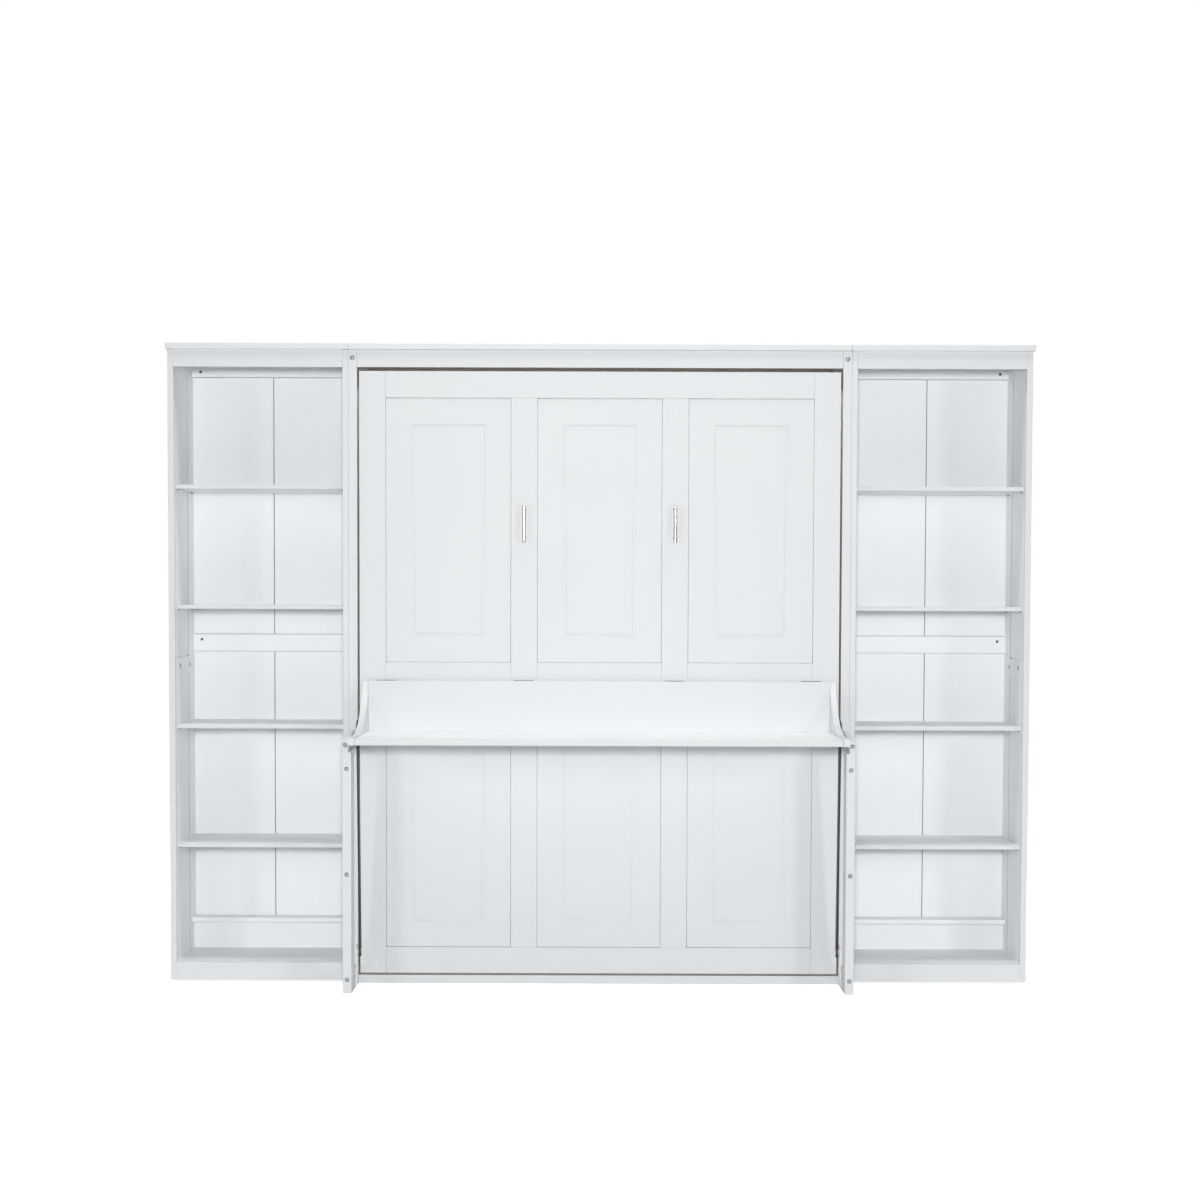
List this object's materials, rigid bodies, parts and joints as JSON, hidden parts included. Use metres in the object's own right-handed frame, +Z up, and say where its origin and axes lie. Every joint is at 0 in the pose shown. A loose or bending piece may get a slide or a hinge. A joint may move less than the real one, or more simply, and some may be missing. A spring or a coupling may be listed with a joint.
{
  "type": "wall bed with desk",
  "caption": "Upright cabinet with a fold-down bed whose front carries a desk that stays level and ends up under the bed, between two open shelf units.",
  "frame": {"origin": "on the floor, under the middle of the whole piece", "axes": "+Z up, front and desk towards -Y, shelf units at -X and +X"},
  "size_m": [2.957, 0.91, 2.19],
  "materials": {
    "white_painted_wood": "satin white paint",
    "pale_grey_board": "pale grey foil on thin board",
    "bare_wood": "sanded and oiled",
    "satin_nickel": "satin",
    "zinc_steel": "zinc plated",
    "ground_steel": "ground",
    "white_steel": "satin white powder coat",
    "black_steel": "satin black",
    "black_plastic": "matte"
  },
  "bodies": {
    "cabinet": {"left_unit_outer_side": "white_painted_wood", "left_unit_inner_side": "white_painted_wood", "left_unit_top": "white_painted_wood", "left_unit_floor": "white_painted_wood", "left_unit_shelves": "white_painted_wood", "left_unit_back": "pale_grey_board", "left_unit_back_rails": "white_painted_wood", "right_unit_outer_side": "white_painted_wood", "right_unit_inner_side": "white_painted_wood", "right_unit_top": "white_painted_wood", "right_unit_floor": "white_painted_wood", "right_unit_shelves": "white_painted_wood", "right_unit_back": "pale_grey_board", "right_unit_back_rails": "white_painted_wood", "unit_valances": "white_painted_wood", "unit_kickboards": "white_painted_wood", "unit_glides": "black_plastic", "shelf_pins": "zinc_steel", "unit_side_bolts": "zinc_steel", "cabinet_side_left": "white_painted_wood", "cabinet_side_right": "white_painted_wood", "cabinet_top": "white_painted_wood", "cabinet_valance": "white_painted_wood", "cabinet_sill": "white_painted_wood", "cabinet_back_rails": "white_painted_wood", "frame_post_left": "white_painted_wood", "frame_post_right": "white_painted_wood", "frame_arm_left": "white_painted_wood", "frame_arm_right": "white_painted_wood", "frame_foot_left": "white_painted_wood", "frame_foot_right": "white_painted_wood", "frame_uprights": "white_painted_wood", "frame_bolts": "zinc_steel", "barrel_nuts": "zinc_steel", "pivot_brackets": "black_steel", "link_brackets": "white_steel"},
    "bed": {"bed_stiles": "white_painted_wood", "bed_cross_rails": "white_painted_wood", "bed_panels": "white_painted_wood", "bed_side_rails": "bare_wood", "bed_end_rails": "bare_wood", "bed_centre_beam": "bare_wood", "bed_slats": "bare_wood", "bed_pivots": "zinc_steel", "handles": "satin_nickel", "bed_hinge_leaves": "zinc_steel", "desk_hinge_pins": "zinc_steel"},
    "desk": {"desk_top": "white_painted_wood", "desk_back": "white_painted_wood", "desk_end_left": "white_painted_wood", "desk_end_right": "white_painted_wood", "desk_hinge_leaves": "zinc_steel", "desk_link_bolts": "zinc_steel", "desk_glides": "black_plastic"},
    "strut_cylinders": {"strut_cylinder_left": "black_steel", "strut_cylinder_right": "black_steel"},
    "strut_rods": {"strut_rod_left": "ground_steel", "strut_rod_right": "ground_steel"},
    "link_bars": {"link_bar_left": "black_steel", "link_bar_right": "black_steel"}
  },
  "joints": [
    {"name": "bed_fold", "type": "hinge", "parent": "cabinet", "child": "bed", "pos_m": [0, 0.11, 0.2652], "axis": [1, 0, 0], "range_deg": [0, 90]},
    {"name": "desk_level", "type": "hinge", "parent": "bed", "child": "desk", "pos_m": [0, 0.0468, 1.042], "axis": [1, 0, 0], "range_deg": [-90, 0]},
    {"name": "link_swing", "type": "hinge", "parent": "cabinet", "child": "link_bars", "pos_m": [0, -0.006, 0.12], "axis": [1, 0, 0], "range_deg": [0, 90]},
    {"name": "strut_swing", "type": "hinge", "parent": "cabinet", "child": "strut_cylinders", "pos_m": [0, 0.25, 0.9], "axis": [1, 0, 0], "range_deg": [0, 10.85]},
    {"name": "strut_stroke", "type": "slide", "parent": "strut_cylinders", "child": "strut_rods", "axis": [0, 0.1218, 0.9926], "range_m": [0, 0.22482]}
  ],
  "couplings": [
    {"joint": "desk_level", "follows": "bed_fold", "ratio": -1},
    {"joint": "link_swing", "follows": "bed_fold", "ratio": 1},
    {"joint": "strut_swing", "follows": "bed_fold", "ratio": 0.12049},
    {"joint": "strut_stroke", "follows": "bed_fold", "m_per_rad": 0.14309}
  ]
}
